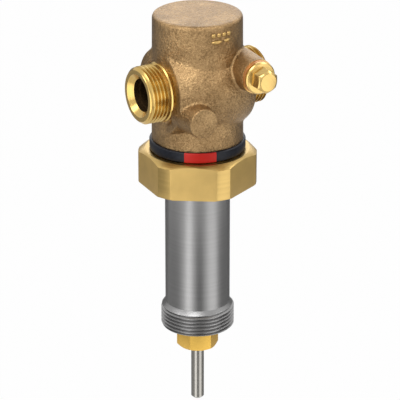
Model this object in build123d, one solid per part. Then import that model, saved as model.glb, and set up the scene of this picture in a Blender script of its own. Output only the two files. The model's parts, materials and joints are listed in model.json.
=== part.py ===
from build123d import *
from math import radians, sqrt, tan
import os

# Control valve, stored with the blind cap up and the actuator stem down.
# Millimetres. +Z runs up the stem axis, +X towards the outlet, and the origin is
# the point where the pipe centreline crosses the stem axis.

# Ports
face_to_face = 62.0
port_thread_dia = 26.44
port_thread_length = 11.7
port_chamfer = 1.4
port_relief_width = 2.4
port_relief_depth = 0.7
port_mouth_dia = 15.2
port_mouth_depth = 5.0
port_mouth_chamfer = 2.3
port_bore_dia = 13.0
port_root_sink = 2.0
way_rise = 1.5
way_reach = 0.7

# Casting
body_dia = 42.0
body_top_z = 34.0
cap_edge_radius = 1.6
globe_swell = 3.6
shoulder_step = 2.0
shoulder_rounding = 2.0
shoulder_clear = 0.5
spot_face_dia = 28.8
spot_face_depth = 0.3
cast_fillet = 2.4
chamber_dia = 26.0
cap_wall = 4.6
bridge_thickness = 7.0
chamber_flare_height = 3.0
flare_z = 16.4
chamber_rounding = 3.0
chamber_step = 1.0
insert_top_gap = 0.5

# Side bosses on the front of the casting
boss_root_depth = 9.0
boss_foot_fillet = 2.6
tap_boss_inset = 7.0
tap_boss_reach = 9.0
tap_boss_z = 10.4
tap_boss_dia = 18.6
blank_boss_inset = 7.8
blank_boss_reach = 8.0
blank_boss_z = -7.2
blank_boss_dia = 14.8
boss_draft = 1.4
boss_edge = 1.2
tap_spot_dia = 16.8
tap_spot_depth = 0.5
tap_thread_dia = 9.7
tap_thread_depth = 9.0
tap_bleed_dia = 3.0
tap_bleed_end_y = 3.0

# Plug in the tapping
plug_washer_thickness = 1.0
plug_washer_dia = 15.2
plug_flange_dia = 14.9
plug_flange_thickness = 2.0
plug_hex_flats = 9.6
plug_hex_height = 6.4
plug_hex_turn = -6.0
plug_hex_inset = 0.8
plug_hex_chamfer_angle = 40.0
plug_flange_chamfer = 0.6
plug_thread_length = 7.5
plug_thread_chamfer = 0.8

# Marking ring and the body's male thread below it
ring_wall = 1.96
ring_top_z = -25.2
ring_height = 4.9
ring_lip = 0.5
body_thread_dia = 40.0
body_thread_chamfer = 1.0
body_bottom_z = -40.2

# Union nut
nut_wall = 5.0
nut_corner_rise = 2.15
nut_top_z = -30.4
nut_bottom_z = -47.0
nut_chamfer_inset = 1.2
hex_chamfer_angle = 30.0
nut_foot_chamfer = 0.4
nut_turn = -4.0
nut_thread_chamfer = 1.4
nut_shelf_chamfer = 0.6

# Neck tube
gasket_thickness = 1.0
tube_dia = 30.0
tube_gap = 0.16
tube_wall = 2.5
collar_inset = 1.7
collar_thickness = 2.6
ledge_z = -106.4
ledge_height = 2.7
end_thread_dia = 34.0
end_thread_chamfer = 0.8
neck_bottom_z = -118.7
neck_floor = 8.0
neck_floor_slope = 2.0
gland_thread_dia = 14.0
gland_thread_chamfer = 0.5

# Valve seat and cone
seat_outer_dia = 20.0
seat_wall = 2.0
seat_height = 8.0
seat_flange_width = 1.2
seat_flange_height = 1.0
seat_lead = 1.2
stroke = 4.0
seat_gap_closed = 0.1
cone_wall = 0.4
cone_height = 6.5
cone_seal_overlap = 0.2
cone_seal_width = 1.8
cone_seal_height = 2.0
cone_seal_proud = 0.4
cone_seal_sink = 0.02
cone_back_chamfer = 2.5
cone_plug_root = 1.0
cone_plug_bulge = 0.5
cone_plug_clear = 0.4
cone_plug_taper = 2.6
cone_plug_height = 5.5
cone_nut_flats = 7.0
cone_nut_height = 3.0
cone_nut_chamfer = 0.2

# Stem
stem_dia = 6.0
stem_neck_dia = 4.0
stem_top_gap = 0.8
stem_tip_z = -157.6
stem_tip_chamfer = 0.9
stem_top_chamfer = 0.5
running_gap = 0.06
static_gap = 0.04
cut_overrun = 1.0
match = 0.02

# Guide insert in the foot of the casting
foot_wall = 5.0
insert_top_z = -21.7
insert_flange_width = 2.0
insert_flange_height = 2.5
insert_seal_z = -28.2
insert_seal_section = 2.0
insert_seal_depth = 1.6
stem_seal_section = 1.8
stem_seal_pocket_dia = 10.0
stem_seal_pocket_depth = 6.0
back_up_thickness = 1.6
insert_top_step = 2.0
insert_top_width = 6.0
insert_lead = 1.0
insert_groove_share = 0.6
seal_corner_share = 0.45

# Return spring and its seats
spring_seat_thickness = 1.5
spring_seat_gap = 1.2
spring_seat_rim = 1.8
spring_wire_dia = 2.0
spring_length = 42.0
spring_turns = 7
plate_thickness = 2.2
plate_hub_dia = 11.0
plate_hub_height = 3.0
clip_thickness = 1.0
clip_dia = 10.0
clip_groove_depth = 0.7
clip_mouth_share = 0.8

# Gland on the lower end
gland_flats = 17.0
gland_bottom_z = -129.9
gland_chamfer = 0.9
gland_corner_inset = 0.3
gland_turn = 9.3
gland_washer_thickness = 1.0
gland_washer_dia = 18.0
gland_stub_length = 9.6
gland_pocket_dia = 10.0
gland_pocket_depth = 6.4
bush_length = 3.6
bush_flange_dia = 12.4
bush_flange_thickness = 0.8
gland_seal_section = 1.9
wiper_dia = 9.6
wiper_length = 2.6
wiper_lip = 0.7
wiper_lip_width = 0.5

# Places that follow from the sizes above
port_end_x = face_to_face / 2
shoulder_x = port_end_x - port_thread_length
port_thread_r = port_thread_dia / 2
port_root_r = port_thread_r - port_relief_depth
way_start_x = shoulder_x + cut_overrun
bridge_z = bridge_thickness / 2
chamber_r = chamber_dia / 2
body_r = body_dia / 2
globe_dia = body_dia + 2 * globe_swell
shoulder_dia = body_dia - 2 * shoulder_step
boss_root_y = body_r - boss_root_depth
tap_boss_x = body_r - tap_boss_inset
tap_boss_y = body_r + tap_boss_reach
blank_boss_x = blank_boss_inset - body_r
blank_boss_y = body_r + blank_boss_reach
gasket_bottom_z = body_bottom_z - gasket_thickness
collar_bottom_z = gasket_bottom_z - collar_thickness
tube_bore_dia = tube_dia - 2 * tube_wall
neck_floor_z = neck_bottom_z + neck_floor
end_thread_top_z = ledge_z - ledge_height
seat_bore_dia = seat_outer_dia - 2 * seat_wall
cone_plug_dia = seat_bore_dia - 2 * cone_plug_clear
cone_plug_tip_dia = cone_plug_dia - 2 * cone_plug_taper
cone_seal_in_dia = seat_bore_dia - 2 * cone_seal_overlap
cone_seal_out_dia = cone_seal_in_dia + 2 * cone_seal_width
cone_dia = cone_seal_out_dia + 2 * cone_wall
seat_bottom_z = -bridge_z - seat_flange_height
cone_top_z = seat_bottom_z - stroke - seat_gap_closed - cone_seal_proud
cone_bottom_z = cone_top_z - cone_height
cone_plug_top_z = cone_top_z + cone_plug_height
stem_top_z = cone_plug_top_z + cone_nut_height + stem_top_gap
spring_top_z = body_bottom_z - spring_seat_thickness
plate_top_z = spring_top_z - spring_length
plate_bottom_z = plate_top_z - plate_thickness
clip_top_z = plate_bottom_z - plate_hub_height
gland_top_z = neck_bottom_z + gland_stub_length
gland_seat_z = neck_bottom_z - gland_washer_thickness
running_bore_r = stem_dia / 2 + running_gap
ring_dia = body_thread_dia + 2 * (static_gap + ring_wall)
nut_flats = body_thread_dia + 2 * nut_wall
nut_corner_dia = nut_flats + 2 * nut_corner_rise
nut_chamfer_start = nut_flats - 2 * nut_chamfer_inset
collar_dia = body_thread_dia - 2 * collar_inset
insert_dia = body_thread_dia - 2 * foot_wall
insert_flange_dia = insert_dia + 2 * insert_flange_width
seat_flange_dia = seat_outer_dia + 2 * seat_flange_width
spring_seat_dia = tube_bore_dia - 2 * spring_seat_gap
spring_mean_dia = spring_seat_dia - 2 * spring_seat_rim - spring_wire_dia
drill_length = 2 * (body_top_z - stem_tip_z)

# How a cylinder or cone stands on its base plane
upward = (Align.CENTER, Align.CENTER, Align.MIN)
downward = (Align.CENTER, Align.CENTER, Align.MAX)


def turned(*corners):
    """A solid turned about the stem axis from (radius, height) corners."""
    return revolve(Plane.XZ * make_face(Polyline(*corners, close=True)), Axis.Z)


def ring(inner_dia, outer_dia, top_z, height):
    """A plain ring about the stem axis."""
    disc = Cylinder(outer_dia / 2, height, align=downward)
    hole = Cylinder(inner_dia / 2, 3 * height)
    return Pos(0, 0, top_z) * (disc - hole)


def seal_ring(inner_dia, section, width, centre_z):
    """A seal ring squeezed to `section` radially and `width` along the axis."""
    mid_r = inner_dia / 2 + section / 2
    shape = RectangleRounded(section, width, seal_corner_share * min(section, width))
    return revolve(Plane.XZ * (Pos(mid_r, centre_z) * shape), Axis.Z)


def hex_prism(flats, height, turn, corner_dia, chamfer_start, chamfer_angle, foot_start):
    """A hexagon prism from Z = 0 down, its corners turned and its ends chamfered to two diameters."""
    sides = RegularPolygon(flats / 2, 6, major_radius=False, rotation=turn)
    prism = extrude(sides, -height)
    corner_r = corner_dia / 2
    start_r = chamfer_start / 2
    foot_r = foot_start / 2
    slope = tan(radians(chamfer_angle))
    envelope = turned(
        (0, 0),
        (start_r, 0),
        (corner_r, -(corner_r - start_r) * slope),
        (corner_r, -height + (corner_r - foot_r) * slope),
        (foot_r, -height),
        (0, -height),
    )
    return prism & envelope


def globe():
    """The barrel-shaped middle of the casting, turned about the pipe centreline."""
    rim_r = shoulder_dia / 2
    edge = ThreePointArc((-shoulder_x, rim_r), (0, globe_dia / 2), (shoulder_x, rim_r))
    sides = Polyline((shoulder_x, rim_r), (shoulder_x, 0), (-shoulder_x, 0), (-shoulder_x, rim_r))
    shape = revolve(Plane.XZ * make_face([edge, sides]), Axis.X)
    rims = shape.edges().filter_by(GeomType.CIRCLE).filter_by(lambda e: abs(e.radius - rim_r) < match)
    return fillet(rims, shoulder_rounding)


def boss(x, y, z, dia):
    """A drafted round boss that stands out of the front of the globe to the distance y."""
    length = y - boss_root_y
    stub = Cone(dia / 2 + boss_draft, dia / 2, length, align=downward)
    face = stub.edges().filter_by(GeomType.CIRCLE).sort_by(Axis.Z)[-1]
    return Pos(x, -y, z) * Rot(90, 0, 0) * fillet(face, boss_edge)


def with_boss(casting, x, y, z, dia):
    """The casting with one more boss, rounded where the boss's drafted side meets it."""
    casting += boss(x, y, z, dia)
    slope = boss_draft / (y - boss_root_y)

    def on_side(point):
        side_r = dia / 2 + slope * (y + point.Y)
        return abs(sqrt((point.X - x) ** 2 + (point.Z - z) ** 2) - side_r) < match

    def is_foot(edge):
        slanted = edge.bounding_box().size.Y > match
        curved = edge.geom_type != GeomType.LINE
        return slanted and curved and all(on_side(edge @ t) for t in (0.05, 0.35, 0.65, 0.95))

    return fillet(casting.edges().filter_by(is_foot), boss_foot_fillet)


def port_end(side):
    """The turned male end of one port, on the side +1 (outlet) or -1 (inlet)."""
    outline = [
        (0, shoulder_x - port_root_sink),
        (port_root_r, shoulder_x - port_root_sink),
        (port_root_r, shoulder_x + port_relief_width),
        (port_thread_r, shoulder_x + port_relief_width + port_relief_depth),
        (port_thread_r, port_end_x - port_chamfer),
        (port_thread_r - port_chamfer, port_end_x),
        (0, port_end_x),
    ]
    return Rot(0, 90 * side, 0) * turned(*outline)


def port_passage(side):
    """The bore of one port and the sloping way from it to its chamber."""
    mouth_r = port_mouth_dia / 2
    bore_r = port_bore_dia / 2
    outline = [
        (0, way_start_x),
        (bore_r, way_start_x),
        (bore_r, port_end_x - port_mouth_depth),
        (mouth_r, port_end_x - port_mouth_depth),
        (mouth_r, port_end_x - port_mouth_chamfer),
        (mouth_r + port_mouth_chamfer, port_end_x),
        (0, port_end_x),
    ]
    bore = Rot(0, 90 * side, 0) * turned(*outline)
    start = Vector(side * way_start_x, 0, 0)
    finish = Vector(side * chamber_r * way_reach, 0, side * (bridge_z + bore_r + way_rise))
    way = finish - start
    slope = Plane(origin=start, z_dir=way)
    duct = extrude(slope * Circle(bore_r), way.length)
    return bore + Pos(*start) * Sphere(bore_r) + duct


def upper_chamber():
    """The cored space above the bridge, closed by the cap."""
    cap_r = body_r - cap_wall
    top_z = body_top_z - cap_wall
    core = turned(
        (0, bridge_z),
        (chamber_r, bridge_z),
        (chamber_r, flare_z - chamber_flare_height),
        (cap_r, flare_z),
        (cap_r, top_z),
        (0, top_z),
    )
    rims = core.edges().filter_by(GeomType.CIRCLE).group_by(Axis.Z)[-1]
    return fillet(rims, chamber_rounding)


def lower_chamber():
    """The machined space below the bridge, stepped for the guide insert."""
    insert_r = insert_dia / 2
    flange_r = insert_flange_dia / 2 + static_gap
    flange_z = body_bottom_z + insert_flange_height
    return turned(
        (0, -bridge_z),
        (chamber_r, -bridge_z),
        (chamber_r, insert_top_z + insert_top_gap + chamber_step),
        (insert_r, insert_top_z + insert_top_gap),
        (insert_r, flange_z),
        (flange_r, flange_z),
        (flange_r, body_bottom_z),
        (0, body_bottom_z),
    )


def valve_body():
    """The casting, with its machined ends, chambers and tapping."""
    column = Cylinder(body_r, body_top_z - ring_top_z, align=downward)
    column = Pos(0, 0, body_top_z) * column
    casting = column + globe()
    seams = casting.edges().filter_by(
        lambda e: e.geom_type not in (GeomType.CIRCLE, GeomType.LINE)
        and abs(e.center().X) < shoulder_x
        and abs(sqrt((e @ 0.3).X ** 2 + (e @ 0.3).Y ** 2) - body_r) < match
    )
    casting = fillet(seams, cast_fillet)
    casting = with_boss(casting, tap_boss_x, tap_boss_y, tap_boss_z, tap_boss_dia)
    casting = with_boss(casting, blank_boss_x, blank_boss_y, blank_boss_z, blank_boss_dia)
    top_edge = casting.edges().filter_by(GeomType.CIRCLE).group_by(Axis.Z)[-1]
    casting = fillet(top_edge, cap_edge_radius)
    for side in (-1, 1):
        clear = ring(2 * port_root_r, shoulder_dia - 2 * shoulder_clear, port_end_x, port_end_x - shoulder_x)
        face = ring(2 * port_root_r, spot_face_dia, port_end_x, port_end_x - shoulder_x + spot_face_depth)
        casting -= Rot(0, 90 * side, 0) * clear
        casting -= Rot(0, 90 * side, 0) * face
        casting += port_end(side)
    thread_height = ring_top_z - body_bottom_z
    spigot = Cylinder(body_thread_dia / 2, thread_height + port_root_sink, align=upward)
    casting += Pos(0, 0, body_bottom_z) * chamfer(spigot.edges().group_by(Axis.Z)[0], body_thread_chamfer)
    casting -= upper_chamber()
    casting -= lower_chamber()
    casting -= Cylinder(seat_outer_dia / 2, 2 * bridge_thickness)
    for side in (-1, 1):
        casting -= port_passage(side)
    return casting - tapping()


def tapping():
    """The spot face, threaded hole and bleed drilling of the tapping boss."""
    spot = Cylinder(tap_spot_dia / 2, tap_spot_depth + cut_overrun, align=upward)
    hole = Cylinder(tap_thread_dia / 2, tap_thread_depth, align=downward)
    bleed = Cylinder(tap_bleed_dia / 2, tap_boss_y - tap_bleed_end_y, align=downward)
    tool = Pos(0, 0, -tap_spot_depth) * (spot + hole + bleed)
    return Pos(tap_boss_x, -tap_boss_y, tap_boss_z) * Rot(90, 0, 0) * tool


def seat_ring():
    """Hard seat pressed into the bridge from below."""
    bore_r = seat_bore_dia / 2
    return turned(
        (bore_r, seat_bottom_z),
        (seat_flange_dia / 2, seat_bottom_z),
        (seat_flange_dia / 2, -bridge_z),
        (seat_outer_dia / 2, -bridge_z),
        (seat_outer_dia / 2, seat_bottom_z + seat_height),
        (bore_r + seat_lead, seat_bottom_z + seat_height),
        (bore_r, seat_bottom_z + seat_height - seat_lead),
    )


def valve_cone():
    """Contoured cone, with a groove for its soft seal and a seat for its nut."""
    root_z = cone_top_z + cone_plug_root
    sides = Polyline(
        (cone_plug_tip_dia / 2, cone_plug_top_z),
        (0, cone_plug_top_z),
        (0, cone_top_z - cone_plug_root),
        (cone_plug_dia / 2, cone_top_z - cone_plug_root),
        (cone_plug_dia / 2, root_z),
    )
    middle = ((cone_plug_dia + cone_plug_tip_dia) / 4 + cone_plug_bulge, (root_z + cone_plug_top_z) / 2)
    contour = ThreePointArc((cone_plug_dia / 2, root_z), middle, (cone_plug_tip_dia / 2, cone_plug_top_z))
    plug = revolve(Plane.XZ * make_face([sides, contour]), Axis.Z)
    disc = turned(
        (0, cone_bottom_z),
        (cone_dia / 2 - cone_back_chamfer, cone_bottom_z),
        (cone_dia / 2, cone_bottom_z + cone_back_chamfer),
        (cone_dia / 2, cone_top_z),
        (0, cone_top_z),
    )
    groove = ring(cone_seal_in_dia, cone_seal_out_dia, cone_top_z + cone_seal_height, 2 * cone_seal_height)
    bore = Cylinder(stem_neck_dia / 2 + static_gap, drill_length)
    return disc - groove + plug - bore


def cone_seal():
    """Soft ring in the cone's groove, standing a little proud of it."""
    width = cone_seal_height + cone_seal_proud - cone_seal_sink
    section = (cone_seal_out_dia - cone_seal_in_dia) / 2 - 2 * static_gap
    centre_z = cone_top_z + cone_seal_proud - width / 2
    return seal_ring(cone_seal_in_dia + 2 * static_gap, section, width, centre_z)


def cone_nut():
    """Locking nut that holds the cone on the stem's neck."""
    corner = cone_nut_flats * 2 / sqrt(3)
    start = cone_nut_flats - 2 * cone_nut_chamfer
    nut = hex_prism(cone_nut_flats, cone_nut_height, 0, corner, start, hex_chamfer_angle, start)
    bore = Cylinder(stem_neck_dia / 2 + static_gap, drill_length)
    return Pos(0, 0, cone_plug_top_z + cone_nut_height) * (nut - bore)


def valve_stem():
    """The stem, from its threaded neck in the cone to the pin that an actuator pushes."""
    r = stem_dia / 2
    neck_r = stem_neck_dia / 2
    groove_r = r - clip_groove_depth
    return turned(
        (0, stem_tip_z),
        (r - stem_tip_chamfer, stem_tip_z),
        (r, stem_tip_z + stem_tip_chamfer),
        (r, clip_top_z - clip_thickness),
        (groove_r, clip_top_z - clip_thickness),
        (groove_r, clip_top_z),
        (r, clip_top_z),
        (r, cone_bottom_z),
        (neck_r, cone_bottom_z),
        (neck_r, stem_top_z - stem_top_chamfer),
        (neck_r - stem_top_chamfer, stem_top_z),
        (0, stem_top_z),
    )


def insert_housing():
    """Guide that closes the foot of the casting and holds the stem seal."""
    outer_r = insert_dia / 2 - static_gap
    flange_z = body_bottom_z + insert_flange_height
    groove_r = insert_dia / 2 - insert_seal_depth
    half_groove = insert_seal_section * insert_groove_share
    step_z = insert_top_z - insert_top_step
    shell = turned(
        (running_bore_r, insert_top_z),
        (outer_r - insert_top_width, insert_top_z),
        (outer_r - insert_top_width + insert_top_step, step_z),
        (outer_r - insert_lead, step_z),
        (outer_r, step_z - insert_lead),
        (outer_r, insert_seal_z + half_groove),
        (groove_r, insert_seal_z + half_groove),
        (groove_r, insert_seal_z - half_groove),
        (outer_r, insert_seal_z - half_groove),
        (outer_r, flange_z),
        (insert_flange_dia / 2, flange_z),
        (insert_flange_dia / 2, body_bottom_z),
        (running_bore_r, body_bottom_z),
    )
    pocket_top_z = body_bottom_z + stem_seal_pocket_depth
    pocket = ring(stem_dia, stem_seal_pocket_dia, pocket_top_z, 2 * stem_seal_pocket_depth)
    return shell - pocket


def insert_seal():
    """Seal ring between the guide insert and the casting."""
    section = insert_seal_depth - 2 * static_gap
    inner = insert_dia - 2 * insert_seal_depth + 2 * static_gap
    return seal_ring(inner, section, insert_seal_section, insert_seal_z)


def stem_seal():
    """Seal ring round the stem, in the guide insert."""
    top_z = body_bottom_z + stem_seal_pocket_depth - back_up_thickness
    section = (stem_seal_pocket_dia - stem_dia) / 2 - running_gap - static_gap
    centre_z = top_z - stem_seal_section / 2 - static_gap
    return seal_ring(stem_dia + 2 * running_gap, section, stem_seal_section, centre_z)


def back_up_ring():
    """Hard ring above the stem seal, which stops it from creeping into the bore."""
    outer = stem_seal_pocket_dia - 2 * static_gap
    top_z = body_bottom_z + stem_seal_pocket_depth
    return ring(2 * running_bore_r, outer, top_z, back_up_thickness)


def seal_spacer():
    """Sleeve that keeps the stem seal in its pocket and rests on the spring seat."""
    outer = stem_seal_pocket_dia - 2 * static_gap
    height = stem_seal_pocket_depth - back_up_thickness - stem_seal_section - 2 * static_gap
    return ring(2 * running_bore_r, outer, body_bottom_z + height, height)


def spring_seat():
    """Upper spring seat, flat against the guide insert."""
    return ring(2 * running_bore_r, spring_seat_dia, body_bottom_z, spring_seat_thickness)


def return_spring():
    """Compression spring that pushes the stem back down."""
    wire_r = spring_wire_dia / 2
    rise = spring_length - spring_wire_dia - 2 * static_gap
    path = Helix(rise / spring_turns, rise, spring_mean_dia / 2)
    wire = sweep(Plane(origin=path @ 0, z_dir=path % 0) * Circle(wire_r), path)
    return Pos(0, 0, plate_top_z + wire_r + static_gap) * wire


def spring_plate():
    """Lower spring seat, carried by the clip on the stem."""
    bore_r = stem_dia / 2 + static_gap / 2
    return turned(
        (bore_r, plate_top_z),
        (spring_seat_dia / 2, plate_top_z),
        (spring_seat_dia / 2, plate_bottom_z),
        (plate_hub_dia / 2, plate_bottom_z),
        (plate_hub_dia / 2, clip_top_z),
        (bore_r, clip_top_z),
    )


def stem_clip():
    """Open retaining clip in the stem's groove."""
    inner = stem_dia - 2 * clip_groove_depth + 2 * static_gap
    clip = ring(inner, clip_dia, clip_top_z - static_gap / 2, clip_thickness - static_gap)
    mouth = Box(clip_dia, inner * clip_mouth_share, 2 * clip_dia)
    return clip - Pos(clip_dia / 2, 0, clip_top_z) * mouth


def body_gasket():
    """Flat gasket between the foot of the casting and the neck tube's collar."""
    return ring(insert_dia, collar_dia, body_bottom_z, gasket_thickness)


def marking_ring():
    """Plain ring round the foot of the casting, where such valves carry their marking."""
    band = ring(body_thread_dia + 2 * static_gap, ring_dia, ring_top_z, ring_height)
    outer = band.edges().filter_by(GeomType.CIRCLE).filter_by(lambda e: abs(e.radius - ring_dia / 2) < match)
    return chamfer(outer, ring_lip)


def union_nut():
    """Union nut that pulls the neck tube's collar up against the casting."""
    height = nut_top_z - nut_bottom_z
    foot = nut_corner_dia - 2 * nut_foot_chamfer
    shape = hex_prism(nut_flats, height, nut_turn, nut_corner_dia, nut_chamfer_start, hex_chamfer_angle, foot)
    shape = Pos(0, 0, nut_top_z) * shape
    thread_r = body_thread_dia / 2 + static_gap
    mouth_r = thread_r + nut_thread_chamfer
    tube_r = tube_dia / 2 + tube_gap
    lead_r = tube_r + nut_shelf_chamfer
    bore = turned(
        (0, nut_top_z + cut_overrun),
        (mouth_r, nut_top_z + cut_overrun),
        (mouth_r, nut_top_z),
        (thread_r, nut_top_z - nut_thread_chamfer),
        (thread_r, collar_bottom_z),
        (lead_r, collar_bottom_z),
        (tube_r, collar_bottom_z - nut_shelf_chamfer),
        (tube_r, nut_bottom_z + nut_shelf_chamfer),
        (lead_r, nut_bottom_z),
        (lead_r, nut_bottom_z - cut_overrun),
        (0, nut_bottom_z - cut_overrun),
    )
    return shape - bore


def neck_tube():
    """Turned neck: a collar, a long tube, and the threaded end for the actuator."""
    tube_r = tube_dia / 2
    bore_r = tube_bore_dia / 2
    collar_r = collar_dia / 2
    end_r = end_thread_dia / 2
    gland_r = gland_thread_dia / 2
    return turned(
        (bore_r, gasket_bottom_z),
        (collar_r, gasket_bottom_z),
        (collar_r, collar_bottom_z),
        (tube_r, collar_bottom_z),
        (tube_r, ledge_z),
        (end_r, end_thread_top_z),
        (end_r, neck_bottom_z + end_thread_chamfer),
        (end_r - end_thread_chamfer, neck_bottom_z),
        (gland_r + gland_thread_chamfer, neck_bottom_z),
        (gland_r, neck_bottom_z + gland_thread_chamfer),
        (gland_r, neck_floor_z),
        (bore_r - neck_floor_slope, neck_floor_z),
        (bore_r, neck_floor_z + neck_floor_slope),
    )


def gland_nut():
    """Hexagon gland that guides the pin and holds its outer seals."""
    corner = gland_flats * 2 / sqrt(3)
    height = gland_seat_z - gland_bottom_z
    start = gland_flats - 2 * gland_corner_inset
    head = hex_prism(gland_flats, height, gland_turn, corner, start, hex_chamfer_angle, start)
    head = Pos(0, 0, gland_seat_z) * head
    stub_r = gland_thread_dia / 2 - static_gap
    stub = turned(
        (0, gland_seat_z - cut_overrun),
        (stub_r, gland_seat_z - cut_overrun),
        (stub_r, gland_top_z - gland_chamfer),
        (stub_r - gland_chamfer, gland_top_z),
        (0, gland_top_z),
    )
    pocket = ring(stem_dia, gland_pocket_dia, gland_top_z + cut_overrun, gland_pocket_depth + cut_overrun)
    wiper_seat = ring(stem_dia, wiper_dia, gland_bottom_z + wiper_length, wiper_length + cut_overrun)
    return head + stub - pocket - wiper_seat - Cylinder(running_bore_r, drill_length)


def gland_washer():
    """Sealing washer under the gland's hexagon."""
    return ring(gland_thread_dia + 2 * static_gap, gland_washer_dia, neck_bottom_z, gland_washer_thickness)


def guide_bush():
    """Flanged bush that guides the stem in the top of the gland."""
    outer = gland_pocket_dia - 2 * static_gap
    sleeve = ring(2 * running_bore_r, outer, gland_top_z, bush_length)
    flange_top_z = gland_top_z + bush_flange_thickness
    return sleeve + ring(2 * running_bore_r, bush_flange_dia, flange_top_z, bush_flange_thickness)


def gland_seal():
    """Seal ring round the pin, under the guide bush."""
    section = (gland_pocket_dia - stem_dia) / 2 - running_gap - static_gap
    centre_z = gland_top_z - bush_length - static_gap - gland_seal_section / 2
    return seal_ring(stem_dia + 2 * running_gap, section, gland_seal_section, centre_z)


def wiper_ring():
    """Wiper in the mouth of the gland, with a lip that keeps dirt off the pin."""
    outer_r = wiper_dia / 2 - static_gap
    top_z = gland_bottom_z + wiper_length - static_gap
    return turned(
        (running_bore_r, gland_bottom_z - wiper_lip),
        (running_bore_r + wiper_lip_width, gland_bottom_z - wiper_lip),
        (running_bore_r + 2 * wiper_lip_width, gland_bottom_z),
        (outer_r, gland_bottom_z),
        (outer_r, top_z),
        (running_bore_r, top_z),
    )


def test_plug():
    """Hexagon plug that closes the tapping."""
    flange_y = plug_washer_thickness - tap_spot_depth
    top = flange_y + plug_flange_thickness + plug_hex_height
    corner = plug_hex_flats * 2 / sqrt(3)
    turn = 30 + plug_hex_turn
    start = plug_hex_flats - 2 * plug_hex_inset
    height = plug_hex_height + plug_flange_thickness
    head = hex_prism(plug_hex_flats, height, turn, corner, start, plug_hex_chamfer_angle, start)
    flange = Cylinder(plug_flange_dia / 2, plug_flange_thickness, align=upward)
    flange = chamfer(flange.edges().group_by(Axis.Z)[-1], plug_flange_chamfer)
    thread_r = tap_thread_dia / 2 - static_gap
    thread = Cylinder(thread_r, plug_thread_length, align=downward)
    thread = chamfer(thread.edges().group_by(Axis.Z)[0], plug_thread_chamfer)
    plug = Pos(0, 0, top) * head + Pos(0, 0, flange_y) * (flange + thread)
    return Pos(tap_boss_x, -tap_boss_y, tap_boss_z) * Rot(90, 0, 0) * plug


def plug_washer():
    """Sealing washer between the plug's flange and the spot face."""
    top = plug_washer_thickness - tap_spot_depth
    washer = ring(tap_thread_dia, plug_washer_dia, top, plug_washer_thickness)
    return Pos(tap_boss_x, -tap_boss_y, tap_boss_z) * Rot(90, 0, 0) * washer


pieces = {
    "valve_body": valve_body,
    "seat_ring": seat_ring,
    "valve_cone": valve_cone,
    "cone_seal": cone_seal,
    "cone_nut": cone_nut,
    "valve_stem": valve_stem,
    "insert_housing": insert_housing,
    "insert_seal": insert_seal,
    "stem_seal": stem_seal,
    "back_up_ring": back_up_ring,
    "seal_spacer": seal_spacer,
    "spring_seat": spring_seat,
    "return_spring": return_spring,
    "spring_plate": spring_plate,
    "stem_clip": stem_clip,
    "body_gasket": body_gasket,
    "marking_ring": marking_ring,
    "union_nut": union_nut,
    "neck_tube": neck_tube,
    "gland_nut": gland_nut,
    "gland_washer": gland_washer,
    "guide_bush": guide_bush,
    "gland_seal": gland_seal,
    "wiper_ring": wiper_ring,
    "test_plug": test_plug,
    "plug_washer": plug_washer,
}

os.makedirs("parts", exist_ok=True)
for name, make in pieces.items():
    export_step(make(), f"parts/{name}.step")
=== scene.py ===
import json
import math

import bpy
from mathutils import Matrix, Vector


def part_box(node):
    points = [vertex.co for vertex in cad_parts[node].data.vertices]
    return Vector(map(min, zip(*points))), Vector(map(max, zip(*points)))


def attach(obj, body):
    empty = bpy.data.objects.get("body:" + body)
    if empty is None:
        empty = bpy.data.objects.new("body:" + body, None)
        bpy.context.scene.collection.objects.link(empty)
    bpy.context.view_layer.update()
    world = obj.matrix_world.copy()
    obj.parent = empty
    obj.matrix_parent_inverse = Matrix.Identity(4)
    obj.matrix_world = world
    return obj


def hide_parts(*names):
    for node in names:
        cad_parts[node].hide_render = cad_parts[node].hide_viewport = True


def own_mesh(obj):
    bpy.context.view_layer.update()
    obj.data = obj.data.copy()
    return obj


bl_info = {
    "name": "Control valve dresser",
    "version": (1, 0, 0),
    "blender": (4, 5, 0),
    "location": "3D View > Sidebar > Control valve",
    "description": "Models and finishes the visible pieces of a small brass control valve",
    "category": "Object",
}

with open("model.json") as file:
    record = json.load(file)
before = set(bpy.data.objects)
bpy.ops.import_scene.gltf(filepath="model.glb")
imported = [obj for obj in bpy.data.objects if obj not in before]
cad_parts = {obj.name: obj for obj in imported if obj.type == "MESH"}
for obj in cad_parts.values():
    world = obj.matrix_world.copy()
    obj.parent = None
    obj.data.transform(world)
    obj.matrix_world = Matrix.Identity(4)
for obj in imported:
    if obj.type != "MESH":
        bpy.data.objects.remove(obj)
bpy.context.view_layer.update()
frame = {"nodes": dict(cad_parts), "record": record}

MM = 0.001
FULL_TURN = 2 * math.pi
QUARTER_TURN = math.pi / 2
FINE_STEPS = 128
MEDIUM_STEPS = 96
COARSE_STEPS = 64
MERGE_GAP = 2e-6
WHITE = (1, 1, 1, 1)

# Turns that lay a piece made about Z along the pipe line, or towards the front
TO_PIPE = Matrix.Rotation(QUARTER_TURN, 4, "Y")
TO_FRONT = Matrix.Rotation(QUARTER_TURN, 4, "X")

# Axes that a material's marks run round, as turns of its coordinates
ROUND_STEM = (0, 0, 0)
ROUND_PIPE = (0, QUARTER_TURN, 0)
ROUND_BOSS = (QUARTER_TURN, 0, 0)

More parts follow.
